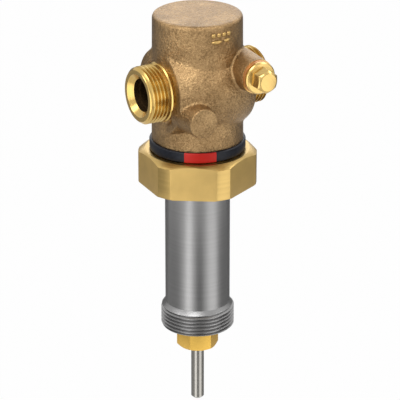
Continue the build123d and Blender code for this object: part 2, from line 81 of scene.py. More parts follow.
# Places read from the frame
BODY_LOW, BODY_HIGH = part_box("valve_body")
NUT_LOW, NUT_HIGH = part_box("union_nut")
TUBE_LOW, TUBE_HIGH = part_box("neck_tube")
GLAND_LOW, GLAND_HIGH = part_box("gland_nut")
RING_LOW, RING_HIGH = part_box("marking_ring")
PLUG_LOW, PLUG_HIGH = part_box("test_plug")
SPRING_LOW, SPRING_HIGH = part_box("return_spring")
PORT_END = BODY_HIGH.x
CAP_TOP = BODY_HIGH.z
PLUG_X = (PLUG_LOW.x + PLUG_HIGH.x) / 2
PLUG_Z = (PLUG_LOW.z + PLUG_HIGH.z) / 2

# From the stem axis to the flat that the plug's washer lies on
PLUG_SEAT = 29.5 * MM


class ValveSizes(bpy.types.PropertyGroup):
    """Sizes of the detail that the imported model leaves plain."""

    port_thread_radius: bpy.props.FloatProperty(
        name="Port thread radius", description="Crest radius of the port threads",
        default=13.22 * MM, unit="LENGTH")
    port_thread_pitch: bpy.props.FloatProperty(
        name="Port thread pitch", description="Pitch of the port threads",
        default=1.814 * MM, unit="LENGTH")
    port_length: bpy.props.FloatProperty(
        name="Port length", description="Length of each port from the globe's end to its face",
        default=11.2 * MM, unit="LENGTH")
    port_collar_radius: bpy.props.FloatProperty(
        name="Port collar radius", description="Radius of the plain band behind each port thread",
        default=13.75 * MM, unit="LENGTH")
    casting_grid: bpy.props.FloatProperty(
        name="Casting grid", description="Grid on which the cast forms are melted together",
        default=0.5 * MM, unit="LENGTH")
    casting_melt: bpy.props.IntProperty(
        name="Casting melt", description="How often the melted cast forms are smoothed",
        default=5, min=0)
    actuator_thread_radius: bpy.props.FloatProperty(
        name="Actuator thread radius", description="Crest radius of the thread on the neck's end",
        default=17.0 * MM, unit="LENGTH")
    actuator_thread_pitch: bpy.props.FloatProperty(
        name="Actuator thread pitch", description="Pitch of the thread on the neck's end",
        default=1.75 * MM, unit="LENGTH")
    tube_radius: bpy.props.FloatProperty(
        name="Tube radius", description="Outer radius of the neck tube",
        default=15.0 * MM, unit="LENGTH")
    edge_rounding: bpy.props.FloatProperty(
        name="Edge rounding", description="Rounding of the union nut's edges",
        default=0.22 * MM, unit="LENGTH")
    cast_mark_radius: bpy.props.FloatProperty(
        name="Cast mark radius", description="Radius of each raised cast dot",
        default=1.2 * MM, unit="LENGTH")
    stroke: bpy.props.FloatProperty(
        name="Stroke", description="How far the stem travels",
        default=4.0 * MM, unit="LENGTH")


class ValveColours(bpy.types.PropertyGroup):
    """Colours of the finishes."""

    cast_light: bpy.props.FloatVectorProperty(
        name="Cast bronze, light", description="Light tone of the cast skin",
        subtype="COLOR", size=4, default=(0.47, 0.305, 0.145, 1), min=0, max=1)
    cast_dark: bpy.props.FloatVectorProperty(
        name="Cast bronze, dark", description="Dark tone of the cast skin",
        subtype="COLOR", size=4, default=(0.165, 0.098, 0.042, 1), min=0, max=1)
    turned_bronze: bpy.props.FloatVectorProperty(
        name="Turned bronze", description="Bright turned bronze of the ports",
        subtype="COLOR", size=4, default=(0.60, 0.405, 0.130, 1), min=0, max=1)
    brass: bpy.props.FloatVectorProperty(
        name="Brass", description="Bright brass of the union nut and the plug",
        subtype="COLOR", size=4, default=(0.64, 0.44, 0.155, 1), min=0, max=1)
    gland_brass: bpy.props.FloatVectorProperty(
        name="Gland brass", description="Warmer brass of the gland",
        subtype="COLOR", size=4, default=(0.92, 0.59, 0.130, 1), min=0, max=1)
    # The bore colour is painted shade: a dark bronze that stands in for the shade inside the water
    # ways.
    bore: bpy.props.FloatVectorProperty(
        name="Bore", description="Dull skin inside the water ways",
        subtype="COLOR", size=4, default=(0.085, 0.050, 0.022, 1), min=0, max=1)
    steel: bpy.props.FloatVectorProperty(
        name="Steel", description="Turned steel of the neck",
        subtype="COLOR", size=4, default=(0.285, 0.282, 0.280, 1), min=0, max=1)
    stainless: bpy.props.FloatVectorProperty(
        name="Stainless", description="Ground stainless steel of the stem",
        subtype="COLOR", size=4, default=(0.37, 0.355, 0.325, 1), min=0, max=1)
    ring_red: bpy.props.FloatVectorProperty(
        name="Ring red", description="Red field on the marking ring",
        subtype="COLOR", size=4, default=(0.56, 0.020, 0.014, 1), min=0, max=1)


def sizes():
    return bpy.context.scene.valve_sizes


def colours():
    return bpy.context.scene.valve_colours


# Modelling helpers


def deselect():
    if bpy.context.object and bpy.context.object.mode != "OBJECT":
        bpy.ops.object.mode_set(mode="OBJECT")
    bpy.ops.object.select_all(action="DESELECT")


def pick(piece):
    deselect()
    piece.select_set(True)
    bpy.context.view_layer.objects.active = piece
    return piece


def settle(piece):
    """Puts a piece's place into its mesh."""
    pick(piece)
    bpy.ops.object.transform_apply(location=True, rotation=True, scale=True)
    return piece


def apply_all(piece):
    pick(piece)
    for modifier in list(piece.modifiers):
        bpy.ops.object.modifier_apply(modifier=modifier.name)
    return piece


def clean(piece):
    """Merges doubles and turns all faces outwards."""
    pick(piece)
    bpy.ops.object.mode_set(mode="EDIT")
    bpy.ops.mesh.select_all(action="SELECT")
    bpy.ops.mesh.remove_doubles(threshold=MERGE_GAP)
    bpy.ops.mesh.dissolve_degenerate(threshold=1e-7)
    bpy.ops.mesh.normals_make_consistent(inside=False)
    bpy.ops.object.mode_set(mode="OBJECT")
    return piece


def smooth(piece, angle):
    pick(piece)
    bpy.ops.object.shade_smooth_by_angle(angle=math.radians(angle))
    return piece


def named(piece, name):
    piece.name = name
    piece.data.name = name
    return piece


def outline(name, corners):
    """A loop of (radius, height) corners in the plane of X and Z."""
    deselect()
    bpy.ops.mesh.primitive_circle_add(vertices=len(corners), radius=1.0, fill_type="NOTHING")
    piece = named(bpy.context.object, name)
    for vertex, (radius, height) in zip(piece.data.vertices, corners):
        vertex.co = (radius, 0.0, height)
    return piece


def turned(name, corners, steps=FINE_STEPS):
    """A closed solid spun about Z from a loop of (radius, height) corners."""
    piece = outline(name, corners)
    bpy.ops.object.mode_set(mode="EDIT")
    bpy.ops.mesh.select_all(action="SELECT")
    bpy.ops.mesh.spin(steps=steps, angle=FULL_TURN, center=(0, 0, 0), axis=(0, 0, 1))
    bpy.ops.object.mode_set(mode="OBJECT")
    return clean(piece)


def rod(name, radius, bottom, top, steps=FINE_STEPS):
    """A plain round bar about Z."""
    return turned(name, [(0, bottom), (radius, bottom), (radius, top), (0, top)], steps)


def hexagon_bar(name, flats, bottom, top, turn):
    """A plain hexagon bar about Z, with one pair of flats facing X when turn is 0."""
    deselect()
    bpy.ops.mesh.primitive_cylinder_add(
        vertices=6, radius=flats / math.sqrt(3), depth=top - bottom,
        location=(0, 0, (top + bottom) / 2), rotation=(0, 0, turn))
    return settle(named(bpy.context.object, name))


def wind(piece, rise, turns, steps):
    """Winds a loop about Z into a helix with closed ends."""
    modifier = piece.modifiers.new("helix", "SCREW")
    modifier.axis = "Z"
    modifier.angle = FULL_TURN
    modifier.screw_offset = rise
    modifier.iterations = turns
    modifier.steps = steps
    modifier.render_steps = steps
    apply_all(piece)
    bpy.ops.object.mode_set(mode="EDIT")
    bpy.ops.mesh.select_all(action="DESELECT")
    bpy.ops.mesh.select_non_manifold()
    bpy.ops.mesh.fill_holes(sides=0)
    bpy.ops.object.mode_set(mode="OBJECT")
    return clean(piece)


def groove_tool(name, crest, pitch, low, high):
    """A helical V-shaped tool about Z that leaves a thread with flat crests."""
    root = crest - 0.64 * pitch
    root_half = pitch / 16
    crest_half = pitch * 7 / 16
    clear = crest + 0.3 * MM
    tool = outline(name, [
        (root, low - root_half), (crest, low - crest_half), (clear, low - crest_half),
        (clear, low + crest_half), (crest, low + crest_half), (root, low + root_half)])
    return wind(tool, pitch, math.ceil((high - low) / pitch), MEDIUM_STEPS)


def combine(piece, tool, operation):
    """Cuts, joins or intersects a piece with a tool, and deletes the tool."""
    modifier = piece.modifiers.new("combine", "BOOLEAN")
    modifier.operation = operation
    modifier.solver = "EXACT"
    modifier.object = tool
    apply_all(piece)
    bpy.data.objects.remove(tool)
    return clean(piece)


def bevel(piece, width, angle):
    """Rounds every edge that is sharper than an angle in degrees."""
    modifier = piece.modifiers.new("edges", "BEVEL")
    modifier.width = width
    modifier.segments = 2
    modifier.limit_method = "ANGLE"
    modifier.angle_limit = math.radians(angle)
    return apply_all(piece)


def move(piece, change):
    """Moves a piece's mesh and leaves its object at the origin."""
    piece.data.transform(change)
    return piece


def at_front(x, z):
    """Lays a piece made about Z on a line that points to the front at x and z."""
    return Matrix.Translation((x, 0, z)) @ TO_FRONT


def copy_of_node(node, name):
    """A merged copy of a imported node, ready to be worked on."""
    piece = frame["nodes"][node].copy()
    piece.data = frame["nodes"][node].data.copy()
    named(piece, name)
    piece.parent = None
    piece.matrix_world = Matrix.Identity(4)
    piece.data.materials.clear()
    for key in list(piece.keys()):
        del piece[key]
    bpy.context.scene.collection.objects.link(piece)
    pick(piece)
    bpy.ops.object.mode_set(mode="EDIT")
    bpy.ops.mesh.select_all(action="SELECT")
    bpy.ops.mesh.remove_doubles(threshold=1e-6)
    bpy.ops.object.mode_set(mode="OBJECT")
    if piece.data.has_custom_normals:
        bpy.ops.mesh.customdata_custom_splitnormals_clear()
    return piece


def finish_piece(piece, node):
    """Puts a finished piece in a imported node's place, on the fixed body."""
    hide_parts(node)
    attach(piece, "valve")
    return piece


# Material helpers


def add_node(tree, kind, inputs=None, **settings):
    """A node with its settings made, and its inputs linked or set."""
    made = tree.nodes.new(kind)
    for key, value in settings.items():
        setattr(made, key, value)
    for key, value in (inputs or {}).items():
        if isinstance(value, bpy.types.NodeSocket):
            tree.links.new(value, made.inputs[key])
        else:
            made.inputs[key].default_value = value
    return made


def maths(tree, operation, first, second=0.0):
    return add_node(
        tree, "ShaderNodeMath", {0: first, 1: second}, operation=operation).outputs[0]


def noise(tree, vector, scale, detail, roughness=0.5):
    return add_node(tree, "ShaderNodeTexNoise", {
        "Vector": vector, "Scale": scale, "Detail": detail,
        "Roughness": roughness}).outputs["Fac"]


def ramp(tree, factor, stops):
    made = add_node(tree, "ShaderNodeValToRGB", {"Fac": factor})
    elements = made.color_ramp.elements
    elements[0].position, elements[0].color = stops[0]
    elements[1].position, elements[1].color = stops[-1]
    for position, colour in stops[1:-1]:
        elements.new(position).color = colour
    return made.outputs["Color"]


def mixed(tree, factor, first, second):
    return add_node(
        tree, "ShaderNodeMix", {0: factor, 6: first, 7: second}, data_type="RGBA").outputs[2]


def new_group(name, inputs, outputs):
    """A node group with its vector and float inputs, and its float outputs."""
    tree = bpy.data.node_groups.new(name, "ShaderNodeTree")
    for label, default in inputs.items():
        kind = "NodeSocketVector" if default is None else "NodeSocketFloat"
        socket = tree.interface.new_socket(label, in_out="INPUT", socket_type=kind)
        if default is not None:
            socket.default_value = default
    for label in outputs:
        tree.interface.new_socket(label, in_out="OUTPUT", socket_type="NodeSocketFloat")
    return tree, tree.nodes.new("NodeGroupInput"), tree.nodes.new("NodeGroupOutput")


def sand_cast_group():
    """Grain and mottling of a blasted sand casting."""
    tree, given, result = new_group(
        "sand_cast_skin", {"Vector": None, "Grain": 1.0}, ["Height", "Mottle", "Speckle"])
    scaled = add_node(
        tree, "ShaderNodeVectorMath", {0: given.outputs["Vector"]}, operation="SCALE")
    tree.links.new(given.outputs["Grain"], scaled.inputs["Scale"])
    vector = scaled.outputs[0]
    fine = noise(tree, vector, 1500.0, 3.0, 0.65)
    lumps = noise(tree, vector, 620.0, 2.0)
    pits = add_node(
        tree, "ShaderNodeTexVoronoi", {"Vector": vector, "Scale": 1150.0}, feature="F1")
    pit_depth = maths(tree, "MINIMUM", pits.outputs["Distance"], 0.35)
    height = maths(tree, "ADD", fine, maths(tree, "MULTIPLY", lumps, 0.8))
    height = maths(tree, "ADD", height, pit_depth)
    tree.links.new(height, result.inputs["Height"])
    tree.links.new(noise(tree, vector, 95.0, 4.0, 0.62), result.inputs["Mottle"])
    tree.links.new(noise(tree, vector, 1250.0, 2.0, 0.7), result.inputs["Speckle"])


def turning_group():
    """Fine lines that a lathe tool leaves round an axis, which is Z of the given vector."""
    tree, given, result = new_group(
        "turning_lines", {"Vector": None, "Lines": 4000.0}, ["Height", "Streak"])
    parts = add_node(tree, "ShaderNodeSeparateXYZ", {0: given.outputs["Vector"]}).outputs
    square = maths(tree, "ADD", maths(tree, "MULTIPLY", parts[0], parts[0]),
                   maths(tree, "MULTIPLY", parts[1], parts[1]))
    radius = maths(tree, "SQRT", square)
    travel = maths(tree, "ADD", parts[2], maths(tree, "MULTIPLY", radius, 1.1))
    around = add_node(tree, "ShaderNodeCombineXYZ", {
        0: maths(tree, "MULTIPLY", parts[0], 55.0),
        1: maths(tree, "MULTIPLY", parts[1], 55.0),
        2: maths(tree, "MULTIPLY", travel, given.outputs["Lines"])}).outputs[0]
    tree.links.new(noise(tree, around, 1.0, 2.0), result.inputs["Height"])
    tree.links.new(noise(tree, around, 0.13, 1.0), result.inputs["Streak"])


def drawn_group():
    """Fine scratches that run along Z, as on drawn hexagon bar."""
    tree, given, result = new_group("drawn_lines", {"Vector": None}, ["Height", "Streak"])
    vector = given.outputs["Vector"]
    stretched = add_node(tree, "ShaderNodeVectorMath", {
        0: vector, 1: (2600.0, 2600.0, 110.0)}, operation="MULTIPLY").outputs[0]
    tree.links.new(noise(tree, stretched, 1.0, 2.0), result.inputs["Height"])
    tree.links.new(noise(tree, vector, 130.0, 3.0), result.inputs["Streak"])


def use_group(tree, group, inputs):
    return add_node(
        tree, "ShaderNodeGroup", inputs, node_tree=bpy.data.node_groups[group]).outputs


def start_material(name):
    """A material with a bare shader, and the Object coordinates that feed it."""
    material = bpy.data.materials.new("finish_" + name)
    material.use_nodes = True
    tree = material.node_tree
    tree.nodes.clear()
    shader = tree.nodes.new("ShaderNodeBsdfPrincipled")
    output = tree.nodes.new("ShaderNodeOutputMaterial")
    tree.links.new(shader.outputs[0], output.inputs["Surface"])
    where = tree.nodes.new("ShaderNodeTexCoord").outputs["Object"]
    return material, tree, shader, where


def show(tree, surface):
    """Puts another surface than the bare shader in a material's output."""
    output = next(node for node in tree.nodes if node.type == "OUTPUT_MATERIAL")
    tree.links.new(surface, output.inputs["Surface"])


def glow(tree, strength):
    return add_node(
        tree, "ShaderNodeEmission", {"Color": WHITE, "Strength": strength}).outputs[0]


def bump(tree, shader, height, strength, distance):
    made = add_node(tree, "ShaderNodeBump", {
        "Height": height, "Strength": strength, "Distance": distance})
    tree.links.new(made.outputs[0], shader.inputs["Normal"])


def roughness_from(tree, shader, pattern, low, high):
    """Lets the roughness vary with a pattern between two values."""
    made = add_node(tree, "ShaderNodeMapRange", {"Value": pattern, "To Min": low, "To Max": high})
    tree.links.new(made.outputs[0], shader.inputs["Roughness"])


def shaded(colour, part):
    """A colour times a part, at full cover."""
    return tuple(c * part for c in colour[:3]) + (1,)


def cast_material():
    """Blasted cast skin, mottled between its two tones."""
    _, tree, shader, where = start_material("cast_bronze")
    skin = use_group(tree, "sand_cast_skin", {"Vector": where, "Grain": 1.0})
    tone = maths(tree, "ADD", maths(tree, "MULTIPLY", skin["Mottle"], 0.45),
                 maths(tree, "MULTIPLY", skin["Speckle"], 0.55))
    dark, light = tuple(colours().cast_dark), tuple(colours().cast_light)
    middle = tuple((a + b) / 2 for a, b in zip(dark, light))
    colour = ramp(tree, tone, [(0.34, dark), (0.50, middle), (0.64, light)])
    tree.links.new(colour, shader.inputs["Base Color"])
    shader.inputs["Metallic"].default_value = 1.0
    roughness_from(tree, shader, skin["Speckle"], 0.24, 0.42)
    bump(tree, shader, skin["Height"], 0.9, 0.42 * MM)


def metal_material(name, colour, roughness, spread, lines, axis, depth, tint=0.12):
    """A turned metal with lines round an axis, or a drawn bar where lines is 0."""
    _, tree, shader, where = start_material(name)
    vector = add_node(
        tree, "ShaderNodeMapping", {"Vector": where, "Rotation": axis}).outputs[0]
    if lines:
        marks = use_group(tree, "turning_lines", {"Vector": vector, "Lines": lines})
    else:
        marks = use_group(tree, "drawn_lines", {"Vector": vector})
    tone = ramp(tree, marks["Streak"], [(0.3, shaded(colour, 1 - tint)), (0.7, tuple(colour))])
    tree.links.new(tone, shader.inputs["Base Color"])
    shader.inputs["Metallic"].default_value = 1.0
    roughness_from(tree, shader, marks["Height"], roughness, roughness + spread)
    bump(tree, shader, marks["Height"], 0.35, depth)


def plain_material(name, colour, roughness, grain, depth, metallic=0.0):
    """A moulded or pressed material with a fine grain."""
    _, tree, shader, where = start_material(name)
    pattern = noise(tree, where, grain, 3.0)
    tone = ramp(tree, pattern, [(0.3, shaded(colour, 0.75)), (0.7, colour)])
    tree.links.new(tone, shader.inputs["Base Color"])
    roughness_from(tree, shader, pattern, roughness, roughness + 0.12)
    shader.inputs["Metallic"].default_value = metallic
    bump(tree, shader, pattern, 0.3, depth)


def ring_material():
    """Black ring with a plain red field on its front."""
    field_centre, field_half_width = math.radians(-116.4), math.radians(19.4)
    field_half_height = 2.4 * MM
    _, tree, shader, where = start_material("marking_ring_print")
    parts = add_node(tree, "ShaderNodeSeparateXYZ", {0: where}).outputs
    angle = maths(tree, "ARCTAN2", parts[1], parts[0])
    offset = maths(tree, "ABSOLUTE", maths(tree, "SUBTRACT", angle, field_centre))
    middle = (RING_LOW.z + RING_HIGH.z) / 2
    height = maths(tree, "ABSOLUTE", maths(tree, "SUBTRACT", parts[2], middle))
    inside = maths(tree, "MULTIPLY", maths(tree, "LESS_THAN", offset, field_half_width),
                   maths(tree, "LESS_THAN", height, field_half_height))
    pattern = noise(tree, where, 700.0, 3.0)
    black = ramp(tree, pattern, [(0.3, (0.004, 0.005, 0.009, 1)), (0.7, (0.010, 0.012, 0.020, 1))])
    tone = mixed(tree, inside, black, tuple(colours().ring_red))
    tree.links.new(tone, shader.inputs["Base Color"])
    roughness_from(tree, shader, pattern, 0.34, 0.46)
    shader.inputs["Specular IOR Level"].default_value = 0.22
    bump(tree, shader, pattern, 0.15, 0.03 * MM)


def finishes():
    """All finishes by name, built once."""
    if "finish_cast_bronze" in bpy.data.materials:
        return bpy.data.materials
    sand_cast_group()
    turning_group()
    drawn_group()
    cast_material()
    ring_material()
    brass, gland = colours().brass, colours().gland_brass
    turned_brass = shaded(brass, 0.84)
    # Name, colour, least roughness, its spread, lines, axis, depth of the lines, and tint
    metal_material("worn_bronze", (0.50, 0.33, 0.12, 1), 0.34, 0.2, 900.0, ROUND_STEM, 0.12 * MM)
    metal_material("brass_bar", brass, 0.42, 0.12, 0, ROUND_STEM, 0.02 * MM)
    metal_material("gland_turned", gland, 0.26, 0.14, 4200.0, ROUND_STEM, 0.03 * MM)
    metal_material("gland_bar", gland, 0.42, 0.12, 0, ROUND_STEM, 0.02 * MM)
    metal_material(
        "turned_bronze", colours().turned_bronze, 0.16, 0.14, 5200.0, ROUND_PIPE, 0.03 * MM)
    metal_material("brass", turned_brass, 0.26, 0.14, 4200.0, ROUND_STEM, 0.03 * MM)
    metal_material("plug_brass", brass, 0.18, 0.12, 4200.0, ROUND_BOSS, 0.02 * MM)
    metal_material(
        "turned_steel", colours().steel, 0.26, 0.16, 5200.0, ROUND_STEM, 0.03 * MM, 0.07)
    metal_material("stainless", colours().stainless, 0.20, 0.12, 7000.0, ROUND_STEM, 0.02 * MM)
    metal_material(
        "spring_steel", (0.33, 0.33, 0.35, 1), 0.28, 0.15, 3000.0, ROUND_STEM, 0.02 * MM)
    metal_material(
        "copper_washer", (0.75, 0.42, 0.25, 1), 0.30, 0.15, 4000.0, ROUND_BOSS, 0.02 * MM)
    # Name, colour, least roughness, grain, depth of the grain, and metallic
    # The bore finish is painted shade: the cast bronze darkened for the shade inside the water
    # ways.
    plain_material("bore", tuple(colours().bore), 0.45, 900.0, 0.05 * MM, 0.9)
    plain_material("seal_rubber", (0.020, 0.020, 0.022, 1), 0.55, 2200.0, 0.04 * MM)
    plain_material("gasket_fibre", (0.06, 0.14, 0.10, 1), 0.75, 1500.0, 0.08 * MM)
    plain_material("bearing_plastic", (0.78, 0.76, 0.70, 1), 0.38, 900.0, 0.03 * MM)
    return bpy.data.materials


def dress(piece, *names):
    piece.data.materials.clear()
    for name in names:
        piece.data.materials.append(finishes()["finish_" + name])
    return piece


def dress_bar(piece, turned_name, bar_name, flats):
    """Gives a hexagon's flats the drawn finish and all its other faces the turned one."""
    dress(piece, turned_name, bar_name)
    for face in piece.data.polygons:
        outwards = Vector((face.normal.x, face.normal.y, 0)).dot(face.center)
        on_flat = abs(face.normal.z) < 0.05 and abs(outwards - flats / 2) < 0.05 * MM
        face.material_index = 1 if on_flat else 0
    return piece


# Operators


class VALVE_OT_casting(bpy.types.Operator):
    """Models the casting: cast forms, water ways, foot, raised marks and threaded ports."""

    bl_idname = "valve.casting"
    bl_label = "Casting"

    FINISHES = ("cast_bronze", "turned_bronze", "bore", "worn_bronze")
    CAST, TURNED, BORE, WORN = range(4)

    # Lowest and highest radius of the column's drafted wall
    COLUMN_FOOT, COLUMN_HEAD = 20.95 * MM, 20.5 * MM

    # Each boss: x, z, radius at its end, radius at the stem axis, and reach
    BOSSES = (
        (PLUG_X, PLUG_Z, 7.95 * MM, 8.8 * MM, 30.0 * MM),
        (-13.1 * MM, -7.2 * MM, 6.85 * MM, 7.8 * MM, 29.0 * MM),
    )

    # Each raised mark in millimetres: place across, height, and its half width and half height
    # as parts of the mark radius
    DOTS = tuple((-3.4 + 2.6 * step, 29.6, 0.95, 0.95) for step in range(4))
    BARS = ((-1.8, 26.5, 2.2, 0.8), (3.4, 26.7, 1.5, 0.8))
    MARK_WALL = 20.4 * MM

    def execute(self, context):
        shoulder = PORT_END - sizes().port_length
        ways = self.water_ways()
        piece = self.cast_forms(shoulder)
        combine(piece, self.plug_seat(), "DIFFERENCE")
        combine(piece, self.foot(), "UNION")
        combine(piece, self.cast_marks(), "UNION")
        for side in (-1, 1):
            combine(piece, self.port(side, shoulder), "UNION")
        combine(piece, ways, "DIFFERENCE")
        smooth(piece, 32)
        dress(piece, *self.FINISHES)
        for face in piece.data.polygons:
            face.material_index = self.finish_of(face, shoulder)
        finish_piece(piece, "valve_body")
        return {"FINISHED"}

    def water_ways(self):
        """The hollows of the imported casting, as one solid."""
        hollows = rod("water_ways", 18.2 * MM, -41 * MM, 31 * MM)
        pipe = rod("pipe", 11.5 * MM, -32 * MM, 32 * MM, MEDIUM_STEPS)
        combine(hollows, move(pipe, TO_PIPE), "UNION")
        tapping = rod("tapping", 5.4 * MM, 10 * MM, 31 * MM, COARSE_STEPS)
        combine(hollows, move(tapping, at_front(PLUG_X, PLUG_Z)), "UNION")
        return combine(hollows, copy_of_node("valve_body", "packed_casting"), "DIFFERENCE")

    def cast_forms(self, shoulder):
        """The cast outside: a drafted column, a barrel-shaped globe and two bosses."""
        low, high = RING_HIGH.z - 0.3 * MM, CAP_TOP
        piece = turned("casting", [
            (0, low), (self.COLUMN_FOOT, low), (self.COLUMN_HEAD, high - 1.5 * MM),
            (self.COLUMN_HEAD - 0.44 * MM, high - 0.44 * MM),
            (self.COLUMN_HEAD - 1.5 * MM, high), (0, high)])
        combine(piece, move(self.globe(shoulder), TO_PIPE), "UNION")
        for x, z, radius, foot, reach in self.BOSSES:
            boss = turned("boss", [
                (0, 12 * MM), (foot, 12 * MM), (radius, reach), (0, reach)], MEDIUM_STEPS)
            combine(piece, move(boss, at_front(x, z)), "UNION")
        melt = piece.modifiers.new("grid", "REMESH")
        melt.mode = "VOXEL"
        melt.voxel_size = sizes().casting_grid
        soften = piece.modifiers.new("soften", "SMOOTH")
        soften.factor = 0.5
        soften.iterations = sizes().casting_melt
        return apply_all(piece)

    def globe(self, shoulder):
        """A barrel about Z with a shallow dish in each end, from which a port grows."""
        swell, rim = 24.6 * MM, 19.2 * MM
        bow = (shoulder ** 2 + (swell - rim) ** 2) / (2 * (swell - rim))
        heights = [shoulder * step / 12 for step in range(-12, 13)]
        side = [(swell - bow + math.sqrt(bow ** 2 - along ** 2), along) for along in heights]
        dish, depth = sizes().port_collar_radius + 1.5 * MM, 1.3 * MM
        floor = dish - 0.6 * MM
        return turned("globe", [
            (0, depth - shoulder), (floor, depth - shoulder), (dish, -shoulder), *side,
            (dish, shoulder), (floor, shoulder - depth), (0, shoulder - depth)])

    def plug_seat(self):
        """The cut that leaves a flat seat on the tapped boss."""
        seat = rod("plug_seat", 11 * MM, PLUG_SEAT, 32 * MM, COARSE_STEPS)
        return move(seat, at_front(PLUG_X, PLUG_Z))

    def foot(self):
        """The turned foot that takes the union nut."""
        radius, chamfer = 20.0 * MM, 1 * MM
        low, high = BODY_LOW.z, RING_HIGH.z + 1.7 * MM
        return turned("foot", [
            (0, low), (radius - chamfer, low), (radius, low + chamfer), (radius, high), (0, high)])

    def port(self, side, shoulder):
        """One turned port: a plain band, then a thread, up to the chamfered face."""
        band, thread, pitch = (
            sizes().port_collar_radius, sizes().port_thread_radius, sizes().port_thread_pitch)
        root, chamfer = 14 * MM, 1.4 * MM
        blank = turned("port", [
            (0, root), (band, root), (band, shoulder + 0.5 * MM), (thread, shoulder + 1.0 * MM),
            (thread, PORT_END - chamfer), (thread - chamfer, PORT_END), (0, PORT_END)])
        groove = groove_tool("port_groove", thread, pitch, shoulder + 2.0 * MM, PORT_END + pitch)
        combine(blank, groove, "DIFFERENCE")
        return move(blank, Matrix.Rotation(side * QUARTER_TURN, 4, "Y"))

    def cast_marks(self):
        """Raised dots and short bars on the front of the cap, as one mesh."""
        marks = []
        for across, height, wide, tall in self.DOTS + self.BARS:
            deselect()
            bpy.ops.mesh.primitive_uv_sphere_add(
                segments=16, ring_count=10, radius=sizes().cast_mark_radius)
            turn = Matrix.Rotation(across * MM / self.MARK_WALL, 4, "Z")
            place = Matrix.Translation((0, -self.MARK_WALL - 0.1 * MM, height * MM))
            shape = Matrix.Diagonal((wide, 0.8, tall, 1))
            marks.append(move(bpy.context.object, turn @ place @ shape))
        deselect()
        for mark in marks:
            mark.select_set(True)
        bpy.context.view_layer.objects.active = marks[0]
        bpy.ops.object.join()
        return bpy.context.object

    def finish_of(self, face, shoulder):
        """Which finish a face has, by its place."""
        centre, play = face.center, 0.02 * MM
        way, mouth = 7.75 * MM, PORT_END - 2.2 * MM
        from_pipe = math.hypot(centre.y, centre.z)
        # Faces inside the water ways take the bore finish, which is painted shade.
        if from_pipe < way and abs(centre.x) < mouth:
            return self.BORE
        band = sizes().port_collar_radius + play
        if abs(centre.x) > shoulder - 2 * MM and from_pipe < band:
            return self.TURNED
        from_plug = math.hypot(centre.x - PLUG_X, centre.z - PLUG_Z)
        if abs(centre.y + PLUG_SEAT) < play and from_plug < 9 * MM:
            return self.TURNED
        on_front = centre.z > 25 * MM and centre.y < 0
        if on_front and math.hypot(centre.x, centre.y) > 20.75 * MM:
            return self.WORN
        return self.TURNED if centre.z < RING_HIGH.z - 0.25 * MM else self.CAST


class VALVE_OT_union_nut(bpy.types.Operator):
    """Models the union nut from a hexagon bar."""

    bl_idname = "valve.union_nut"
    bl_label = "Union nut"

    def execute(self, context):
        flats, corner = 50.0 * MM, 27.15 * MM
        top_face, low_face = 23.8 * MM, 26.75 * MM
        low, high = NUT_LOW.z, NUT_HIGH.z
        slope = math.tan(math.radians(30))
        thread, tube, shelf = 20.04 * MM, 15.16 * MM, TUBE_HIGH.z - 2.6 * MM
        lead, chamfer = 1.4 * MM, 0.6 * MM
        piece = hexagon_bar("union_nut_turned", flats, low, high, math.radians(-4))
        envelope = turned("envelope", [
            (thread + lead, high), (top_face, high),
            (corner, high - (corner - top_face) * slope),
            (corner, low + (corner - low_face) * slope), (low_face, low),
            (tube + chamfer, low), (tube, low + chamfer), (tube, shelf - chamfer),
            (tube + chamfer, shelf), (thread, shelf), (thread, high - lead)])
        combine(piece, envelope, "INTERSECT")
        bevel(piece, sizes().edge_rounding, 18)
        smooth(piece, 30)
        dress_bar(piece, "brass", "brass_bar", flats)
        finish_piece(piece, "union_nut")
        return {"FINISHED"}


class VALVE_OT_neck_tube(bpy.types.Operator):
    """Turns the neck tube and cuts the actuator thread."""

    bl_idname = "valve.neck_tube"
    bl_label = "Neck tube"

    def execute(self, context):
        tube, end, pitch = (
            sizes().tube_radius, sizes().actuator_thread_radius, sizes().actuator_thread_pitch)
        bore, collar, gland = 12.5 * MM, 18.3 * MM, 7.0 * MM
        top, low = TUBE_HIGH.z, TUBE_LOW.z
        under_collar, ledge, floor = top - 2.6 * MM, -106.4 * MM, low + 8.0 * MM
        piece = turned("neck_tube_turned", [
            (bore, top), (collar, top), (collar, under_collar), (tube, under_collar),
            (tube, ledge), (end - 0.15 * MM, ledge - 2.5 * MM), (end, ledge - 2.7 * MM),
            (end, low + 0.8 * MM), (end - 0.8 * MM, low),
            (gland + 0.5 * MM, low), (gland, low + 0.5 * MM), (gland, floor),
            (bore - 2 * MM, floor), (bore, floor + 2 * MM)])
        bevel(piece, 0.12 * MM, 25)
        groove = groove_tool("neck_groove", end, pitch, low - pitch, ledge - 3.3 * MM)
        combine(piece, groove, "DIFFERENCE")
        smooth(piece, 30)
        dress(piece, "turned_steel")
        finish_piece(piece, "neck_tube")
        return {"FINISHED"}


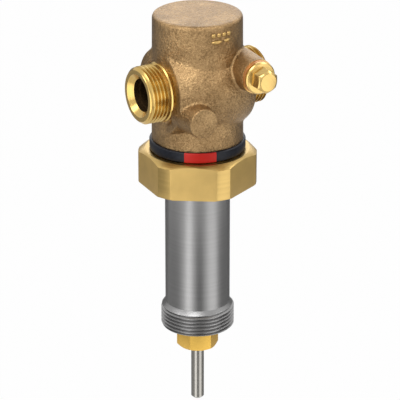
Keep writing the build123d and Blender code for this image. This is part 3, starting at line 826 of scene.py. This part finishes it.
class VALVE_OT_gland_nut(bpy.types.Operator):
    """Models the gland from a hexagon bar and a turned stub."""

    bl_idname = "valve.gland_nut"
    bl_label = "Gland nut"

    def execute(self, context):
        flats = 17.0 * MM
        corner, face = flats / math.sqrt(3), 8.2 * MM
        drop = (corner - face) * math.tan(math.radians(30))
        low, seat, top = GLAND_LOW.z, TUBE_LOW.z - 1.0 * MM, GLAND_HIGH.z
        bore, stub, pocket, wiper = 3.06 * MM, 6.96 * MM, 5.0 * MM, 4.8 * MM
        wiper_end, pocket_end, chamfer = low + 2.6 * MM, top - 6.4 * MM, 0.9 * MM
        piece = hexagon_bar("gland_nut_turned", flats, low, seat, math.radians(9.3))
        envelope = turned("envelope", [
            (bore, seat), (face, seat), (corner, seat - drop), (corner, low + drop), (face, low),
            (wiper, low), (wiper, wiper_end), (bore, wiper_end)])
        combine(piece, envelope, "INTERSECT")
        sunk = seat - 0.5 * MM
        stem_guide = turned("stub", [
            (bore, sunk), (stub, sunk), (stub, top - chamfer), (stub - chamfer, top),
            (pocket, top), (pocket, pocket_end), (bore, pocket_end)], COARSE_STEPS)
        combine(piece, stem_guide, "UNION")
        bevel(piece, 0.18 * MM, 20)
        smooth(piece, 30)
        dress_bar(piece, "gland_turned", "gland_bar", flats)
        finish_piece(piece, "gland_nut")
        return {"FINISHED"}


class VALVE_OT_test_plug(bpy.types.Operator):
    """Models the hexagon plug with its round flange."""

    bl_idname = "valve.test_plug"
    bl_label = "Test plug"

    def execute(self, context):
        flats = 9.6 * MM
        clear, crown = flats / math.sqrt(3) + 0.1 * MM, 4.0 * MM
        drop = (clear - crown) * math.tan(math.radians(40))
        end = -PLUG_LOW.y
        face = end - 6.4 * MM
        seat = face - 2.0 * MM
        flange, rounding, sunk = 7.45 * MM, 0.6 * MM, face - 1 * MM
        thread, tip, chamfer = 4.81 * MM, seat - 7.5 * MM, 0.8 * MM
        piece = hexagon_bar("test_plug_turned", flats, face - 0.5 * MM, end, math.radians(-6))
        envelope = turned("envelope", [
            (0, end), (crown, end), (clear, end - drop), (clear, sunk), (0, sunk)], COARSE_STEPS)
        combine(piece, envelope, "INTERSECT")
        base = turned("flange", [
            (0, face), (flange - rounding, face), (flange, face - rounding), (flange, seat),
            (thread, seat), (thread, tip + chamfer), (thread - chamfer, tip), (0, tip)],
            MEDIUM_STEPS)
        combine(piece, base, "UNION")
        bevel(piece, 0.18 * MM, 20)
        move(piece, at_front(PLUG_X, PLUG_Z))
        smooth(piece, 30)
        dress(piece, "plug_brass")
        finish_piece(piece, "test_plug")
        return {"FINISHED"}


class VALVE_OT_marking_ring(bpy.types.Operator):
    """Turns the marking ring, with a chamfer at each outer edge."""

    bl_idname = "valve.marking_ring"
    bl_label = "Marking ring"

    def execute(self, context):
        low, high = RING_LOW.z, RING_HIGH.z
        outer, inner, chamfer = RING_HIGH.x, 20.04 * MM, 0.5 * MM
        piece = turned("marking_ring_turned", [
            (inner, high), (outer - chamfer, high), (outer, high - chamfer),
            (outer, low + chamfer), (outer - chamfer, low), (inner, low)])
        bevel(piece, 0.12 * MM, 20)
        smooth(piece, 30)
        dress(piece, "marking_ring_print")
        finish_piece(piece, "marking_ring")
        return {"FINISHED"}


class VALVE_OT_return_spring(bpy.types.Operator):
    """Winds the return spring."""

    bl_idname = "valve.return_spring"
    bl_label = "Return spring"

    def execute(self, context):
        wire, turns = 1.0 * MM, 7
        coil = SPRING_HIGH.x - wire
        low, high = SPRING_LOW.z, SPRING_HIGH.z
        deselect()
        bpy.ops.mesh.primitive_circle_add(vertices=14, radius=wire, fill_type="NOTHING")
        piece = bpy.context.object
        piece.name = "return_spring_wound"
        move(piece, Matrix.Translation((coil, 0, low + wire)) @ TO_FRONT)
        wind(piece, (high - low - 2 * wire) / turns, turns, 40)
        smooth(piece, 50)
        dress(piece, "spring_steel")
        finish_piece(piece, "return_spring")
        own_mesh(piece)
        return {"FINISHED"}


class VALVE_OT_carried_nodes(bpy.types.Operator):
    """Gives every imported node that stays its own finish."""

    bl_idname = "valve.carried_nodes"
    bl_label = "Carried nodes"

    # Slots whose finish has another name
    FINISH_OF_SLOT = {"machined_brass": "brass", "ring_plastic": "marking_ring_print"}

    def execute(self, context):
        slot_of_node = {row["node"]: row["material_slot"] for row in frame["record"]["subparts"]}
        for node, piece in frame["nodes"].items():
            if not piece.hide_render:
                slot = slot_of_node[node]
                dress(piece, self.FINISH_OF_SLOT.get(slot, slot))
        return {"FINISHED"}


class VALVE_OT_stage(bpy.types.Operator):
    """Sets the floor, the soft lamps, the grey cards, the sky and the camera."""

    bl_idname = "valve.stage"
    bl_label = "Stage"

    # Name, azimuth and elevation in degrees, distance, width, height and power
    LAMPS = (
        ("left_strip", 209, -14, 1.4, 0.50, 1.9, 4.8),
        ("right_strip", 294, -14, 1.4, 0.85, 1.9, 4.6),
        ("behind_top", 60, 24, 1.5, 1.3, 0.7, 4.0),
        ("overhead", 222, 54, 1.4, 0.8, 0.6, 9.0),
        ("left_high", 166, 46, 1.5, 0.6, 0.5, 4.0),
        ("right_high", 338, 44, 1.5, 0.6, 0.5, 4.0),
    )

    # Name, azimuth in degrees, distance, width and shade
    CARDS = (
        ("front_card", 247, 2.2, 1.0, 0.16),
        ("left_card", 146, 2.2, 3.0, 0.44),
        ("left_back_card", 90, 2.2, 1.6, 0.22),
        ("right_card", 350, 2.2, 3.0, 0.34),
        ("right_back_card", 30, 2.2, 1.2, 0.22),
    )

    def execute(self, context):
        self.floor()
        self.world()
        for row in self.LAMPS:
            self.lamp(*row)
        for row in self.CARDS:
            self.card(*row)
        self.camera()
        context.scene.view_settings.view_transform = "Standard"
        return {"FINISHED"}

    def shown(self, tree, most):
        """Up to a limit for the rays that see the backdrop, straight or in a reflection."""
        path = tree.nodes.new("ShaderNodeLightPath").outputs
        seen = maths(tree, "ADD", path["Is Camera Ray"], path["Is Glossy Ray"])
        return maths(tree, "MINIMUM", maths(tree, "ADD", seen, path["Is Transmission Ray"]), most)

    def floor(self):
        """White paper that keeps a little of the valve's shadow."""
        deselect()
        bpy.ops.mesh.primitive_plane_add(size=14.0, location=(0, 0, -1.6))
        floor = settle(bpy.context.object)
        floor.name = "floor"
        material, tree, shader, _ = start_material("floor_paper")
        shader.inputs["Base Color"].default_value = (0.9, 0.9, 0.9, 1)
        shader.inputs["Roughness"].default_value = 0.9
        show(tree, add_node(tree, "ShaderNodeMixShader", {
            0: self.shown(tree, 0.985), 1: shader.outputs[0], 2: glow(tree, 1.0)}).outputs[0])
        floor.data.materials.append(material)

    def world(self):
        """A dim white room that shows as a white backdrop."""
        world = bpy.data.worlds.new("studio")
        world.use_nodes = True
        bpy.context.scene.world = world
        tree = world.node_tree
        tree.nodes.clear()
        output = tree.nodes.new("ShaderNodeOutputWorld")
        room, backdrop = (
            add_node(tree, "ShaderNodeBackground", {"Color": WHITE, "Strength": strength})
            for strength in (0.34, 1.0))
        mix = add_node(tree, "ShaderNodeMixShader", {
            0: self.shown(tree, 1.0), 1: room.outputs[0], 2: backdrop.outputs[0]})
        tree.links.new(mix.outputs[0], output.inputs["Surface"])

    def lamp(self, name, azimuth, elevation, distance, width, height, power):
        """A soft rectangle that faces the valve from a direction given in degrees."""
        data = bpy.data.lights.new(name, "AREA")
        data.shape = "RECTANGLE"
        data.size = width
        data.size_y = height
        data.energy = power
        lamp = bpy.data.objects.new(name, data)
        azimuth, elevation = math.radians(azimuth), math.radians(elevation)
        level = math.cos(elevation)
        out = Vector((level * math.cos(azimuth), level * math.sin(azimuth), math.sin(elevation)))
        lamp.location = Vector((0, 0, -0.06)) + out * distance
        lamp.rotation_euler = (-out).to_track_quat("-Z", "Y").to_euler()
        lamp.visible_camera = False
        bpy.context.scene.collection.objects.link(lamp)

    def card(self, name, azimuth, distance, width, shade):
        """A grey studio card beside the valve, which only its reflections show."""
        tall, middle = 1.8, -0.65
        deselect()
        bpy.ops.mesh.primitive_plane_add(size=1.0)
        card = bpy.context.object
        card.name = name
        azimuth = math.radians(azimuth)
        upright = Matrix.Rotation(azimuth + QUARTER_TURN, 4, "Z") @ TO_FRONT
        out = Vector((math.cos(azimuth), math.sin(azimuth), 0))
        place = Matrix.Translation(out * distance + Vector((0, 0, middle))) @ upright
        move(card, place @ Matrix.Diagonal((width, tall, 1, 1)))
        material, tree, _, _ = start_material(name)
        show(tree, glow(tree, shade))
        card.data.materials.append(material)
        card.visible_camera = False
        card.visible_diffuse = False
        card.visible_transmission = False
        card.visible_shadow = False

    def camera(self):
        """A long lens that looks slightly down on the valve."""
        azimuth, elevation = math.radians(-30), math.radians(22.5)
        distance, target = 1.245, Vector((0.9965 * MM, -0.5753 * MM, -56.75 * MM))
        sensor, focal_pixels, picture_pixels = 36.0, 2700.0, 400.0
        back = Vector((
            math.sin(azimuth) * math.cos(elevation),
            -math.cos(azimuth) * math.cos(elevation),
            math.sin(elevation)))
        data = bpy.data.cameras.new("camera")
        data.sensor_width = sensor
        data.lens = sensor * focal_pixels / picture_pixels
        data.clip_start, data.clip_end = 0.05, 20.0
        camera = bpy.data.objects.new("camera", data)
        camera.location = target + back * distance
        camera.rotation_mode = "QUATERNION"
        camera.rotation_quaternion = (-back).to_track_quat("-Z", "Y")
        bpy.context.scene.collection.objects.link(camera)
        bpy.context.scene.camera = camera


PIECE_OPERATORS = (
    VALVE_OT_casting,
    VALVE_OT_union_nut,
    VALVE_OT_neck_tube,
    VALVE_OT_gland_nut,
    VALVE_OT_test_plug,
    VALVE_OT_marking_ring,
    VALVE_OT_return_spring,
    VALVE_OT_carried_nodes,
    VALVE_OT_stage,
)


class VALVE_PT_dresser(bpy.types.Panel):
    """Lists the pieces of the valve."""

    bl_label = "Control valve"
    bl_idname = "VALVE_PT_dresser"
    bl_space_type = "VIEW_3D"
    bl_region_type = "UI"
    bl_category = "Control valve"

    def draw(self, context):
        for operator in PIECE_OPERATORS:
            self.layout.operator(operator.bl_idname)


CLASSES = (ValveSizes, ValveColours, *PIECE_OPERATORS, VALVE_PT_dresser)


def register():
    for item in CLASSES:
        bpy.utils.register_class(item)
    bpy.types.Scene.valve_sizes = bpy.props.PointerProperty(type=ValveSizes)
    bpy.types.Scene.valve_colours = bpy.props.PointerProperty(type=ValveColours)


def unregister():
    del bpy.types.Scene.valve_colours
    del bpy.types.Scene.valve_sizes
    for item in reversed(CLASSES):
        bpy.utils.unregister_class(item)


def main():
    register()
    bpy.ops.valve.casting()
    bpy.ops.valve.union_nut()
    bpy.ops.valve.neck_tube()
    bpy.ops.valve.gland_nut()
    bpy.ops.valve.test_plug()
    bpy.ops.valve.marking_ring()
    bpy.ops.valve.return_spring()
    bpy.ops.valve.carried_nodes()
    bpy.ops.valve.stage()


if __name__ == "__main__":
    main()
